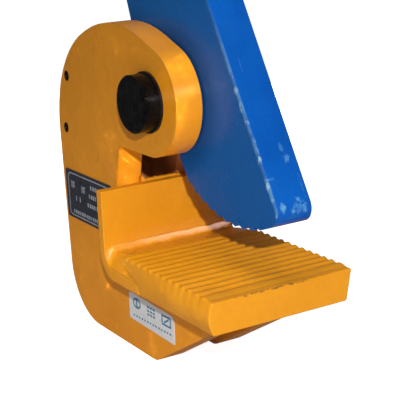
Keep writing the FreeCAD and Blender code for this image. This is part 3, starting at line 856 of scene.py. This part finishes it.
def marks(name, pieces, material, origin, y, tilt=0.0):
    """Flat raised shapes; each piece is a list of (u, v) corners in mm right of and below the origin."""
    bm = bmesh.new()
    c, s = math.cos(math.radians(tilt)), math.sin(math.radians(tilt))
    for corners in pieces:
        flat = [(PX + (origin[0] + u * c + v * s) * MM, PZ + (origin[1] - v * c + u * s) * MM)
                for u, v in corners]
        back = [bm.verts.new((x, y, z)) for x, z in flat]
        front = [bm.verts.new((x, y - MARK_THICK, z)) for x, z in flat]
        bm.faces.new(front)
        bm.faces.new(back[::-1])
        n = len(flat)
        for i in range(n):
            bm.faces.new((front[i], back[i], back[(i + 1) % n], front[(i + 1) % n]))
    return new_object(name, bm, "frame", material, smooth=False)


def bar(u, v, w, h):
    """Rectangle with its upper left corner at u, v."""
    return [(u, v), (u + w, v), (u + w, v + h), (u, v + h)]


def stroke(u0, v0, u1, v1, w):
    """A straight stroke of width w between two points."""
    d = (Vector((u1, v1)) - Vector((u0, v0))).normalized() * (w / 2)
    return [(u0 - d.y, v0 + d.x), (u0 + d.y, v0 - d.x), (u1 + d.y, v1 - d.x), (u1 - d.y, v1 + d.x)]


def band(outer, inner):
    """Strip between two loops of equal length, cut into four-sided pieces."""
    n = len(outer)
    return [[outer[i], outer[(i + 1) % n], inner[(i + 1) % n], inner[i]] for i in range(n)]


def rounded(u0, v0, u1, v1, r):
    """Rectangle with rounded corners."""
    return [tuple(q) for q in fillet([(u0, v0, r), (u1, v0, r), (u1, v1, r), (u0, v1, r)], 15.0)]


def oval(u, v, half_u, half_v):
    """Loop of 24 points."""
    turns = [k * math.pi / 12 for k in range(24)]
    return [(u + half_u * math.cos(a), v + half_v * math.sin(a)) for a in turns]


def top_left(node):
    """Upper left corner of a thin node's near face, in mm about the pivot."""
    return (span(node, 0)[0] - PX) / MM, (span(node, 2)[1] - PZ) / MM


def plate_marks():
    """A border, two blocks of bars, two short bars and four rows of bars."""
    out = band(rounded(3.2, 1.7, 57.8, 29.4, 3.4), rounded(3.9, 2.4, 57.1, 28.7, 2.7))
    for u, v in ((7.1, 6.9), (21.2, 7.9)):
        out += [bar(u, v + 1.15 * k, 5.0 - 0.5 * (k % 2), 0.75) for k in range(4)]
        out += [bar(u + 2.0, v, 0.9, 4.4)]
    out += [bar(12.9, 15.9, 1.0, 3.0), bar(17.9, 15.7, 1.0, 3.3)]
    rows = ((33.8, 5.4, 2.6, 2.9), (31.2, 11.2, 2.6, 2.7), (28.7, 17.2, 2.6, 3.0), (8.8, 25.2, 2.3, 2.6))
    for u0, v, height, step in rows:
        k = 0
        while u0 + k * step < 53.0:
            out.append(bar(u0 + k * step, v, step * (0.62 if k % 3 else 0.45), height))
            k += 1
    return out


def label_marks():
    """A ring with a bar, a grid of bars, an open square with a stroke, and a row of dashes."""
    out = band(oval(9.6, 5.7, 4.6, 3.3), oval(9.6, 5.7, 3.4, 2.2))
    out += [bar(8.9, 3.6, 1.3, 4.2)]
    out += [bar(22.0 + 3.3 * k, 3.9 + 2.2 * row, 2.3, 1.2) for k in range(3) for row in range(3)]
    out += [bar(38.6, v, 10.4, 1.1) for v in (4.1, 9.4)]
    out += [bar(u, 5.2, 1.2, 4.2) for u in (38.6, 47.8)]
    out += [stroke(41.0, 8.9, 46.6, 5.7, 1.1)]
    out += [bar(4.6 + 3.25 * k, 13.3 + 0.02 * k, 1.5 + 0.4 * (k % 2), 1.1) for k in range(14)]
    return out


marks("nameplate_marks", plate_marks(), PLATE_PALE, top_left("nameplate"),
      span("nameplate", 1)[0])
marks("label_marks", label_marks(), FILM_BLUE, top_left("inspection_label"),
      span("inspection_label", 1)[0], 1.3)


# ------------------------------------------------------------------ stage, light and camera
PIVOT = Vector((PX, 0.0, PZ))
YAW = math.radians(58.434)
PITCH_DOWN = math.radians(15.480)
ROLL = math.radians(-2.288)
FOCAL = 103.07
SENSOR = 36.0
CAMERA_FROM_PIVOT = Vector((0.56443, -0.33767, 0.12086))


def pale_floor():
    """Wide white floor just under the clamp, lit a little from itself."""
    bm = bmesh.new()
    bmesh.ops.create_grid(bm, x_segments=4, y_segments=4, size=9.0)
    me = bpy.data.meshes.new("floor")
    bm.to_mesh(me)
    bm.free()
    ob = bpy.data.objects.new("floor", me)
    bpy.context.scene.collection.objects.link(ob)
    ob.location.z = cad_box[0].z - 0.0002
    p = Paint("pale_floor", rough=0.9, specular=0.1)
    patches = p.ramp(p.noise(3.0, 2.0), 0.3, 0.7)
    p.shade("Base Color", p.mix(patches, (0.70, 0.70, 0.70), (0.72, 0.72, 0.72)))
    p.bsdf.inputs["Emission Color"].default_value = (1, 1, 1, 1)
    p.bsdf.inputs["Emission Strength"].default_value = 0.93
    me.materials.append(p.mat)
    return ob


def add_camera():
    """Camera at the matched place, turned by yaw, pitch and roll."""
    data = bpy.data.cameras.new("camera")
    data.sensor_width = SENSOR
    data.lens = FOCAL
    ob = bpy.data.objects.new("camera", data)
    bpy.context.scene.collection.objects.link(ob)
    level = math.cos(PITCH_DOWN)
    right = Vector((math.cos(YAW), math.sin(YAW), 0.0))
    ahead = Vector((-math.sin(YAW) * level, math.cos(YAW) * level, -math.sin(PITCH_DOWN)))
    up = right.cross(ahead)
    rolled_right = right * math.cos(ROLL) + up * math.sin(ROLL)
    rolled_up = up * math.cos(ROLL) - right * math.sin(ROLL)
    turn = Matrix((rolled_right, rolled_up, -ahead)).transposed()
    ob.matrix_world = Matrix.Translation(PIVOT + CAMERA_FROM_PIVOT) @ turn.to_4x4()
    return ob


def lit_only(name, pieces):
    """Collection of the only pieces that a light reaches."""
    group = bpy.data.collections.new("lit_by_" + name)
    for piece in pieces:
        group.objects.link(piece)
    return group


def lamp(name, azimuth, elevation, distance, size, power, glossy=True, diffuse=True):
    """Area light round the clamp: azimuth 0 shines along +Y, 90 along -X."""
    a, e = math.radians(azimuth), math.radians(elevation)
    back = Vector((math.sin(a) * math.cos(e), -math.cos(a) * math.cos(e), math.sin(e)))
    data = bpy.data.lights.new(name, "AREA")
    data.shape = "DISK"
    data.size = size
    data.energy = power
    ob = bpy.data.objects.new(name, data)
    bpy.context.scene.collection.objects.link(ob)
    ob.location = PIVOT + back * distance
    ob.visible_glossy = glossy
    ob.visible_diffuse = diffuse
    ob.rotation_euler = (-back).to_track_quat("-Z", "Y").to_euler()
    return ob


def accent(name, azimuth, elevation, size, power, diffuse, pieces):
    """Pinkish lamp that lights only some pieces and casts no shadow, as a glint or as a glow."""
    ob = lamp(name, azimuth, elevation, 1.2, size, power, not diffuse, diffuse)
    ob.data.color = (1.0, 0.74, 0.70)
    ob.data.use_shadow = False
    ob.light_linking.receiver_collection = lit_only(name, pieces)


floor = pale_floor()
floor.visible_glossy = False
floor.light_linking.receiver_collection = lit_only("floor", [floor])
bpy.context.scene.camera = add_camera()

lamp("key", 60.6, 19.8, 0.95, 0.02, 8.2)
lamp("camera_fill", 59.0, 10.5, 0.67, 0.05, 0.12, False)
lamp("fill_low", 8.0, -17.0, 0.36, 0.2, 0.16, False)
lamp("top", 50.0, 75.0, 1.8, 1.2, 8.0, False)
lamp("behind", 235.0, 2.0, 0.9, 0.5, 4.0, False)

made = bpy.data.objects
accent("weld_glint", 129.0, 36.0, 0.75, 11.0, False, [made["rear_bead"]])
accent("ear_glint", 121.0, 21.0, 0.08, 1.0, False, [made["plate_left"], frame["nodes"]["pivot_pin"]])
accent("under_glow", 50.0, -68.0, 0.60, 1.6, True, [made["plate_left"], made["plate_right"]])

world = bpy.data.worlds.new("studio")
world.use_nodes = True
world.node_tree.nodes["Background"].inputs[0].default_value = (1.0, 1.0, 1.0, 1.0)
world.node_tree.nodes["Background"].inputs[1].default_value = 0.08
bpy.context.scene.world = world
bpy.context.scene.view_settings.view_transform = "Standard"
bpy.context.scene.view_settings.look = "None"
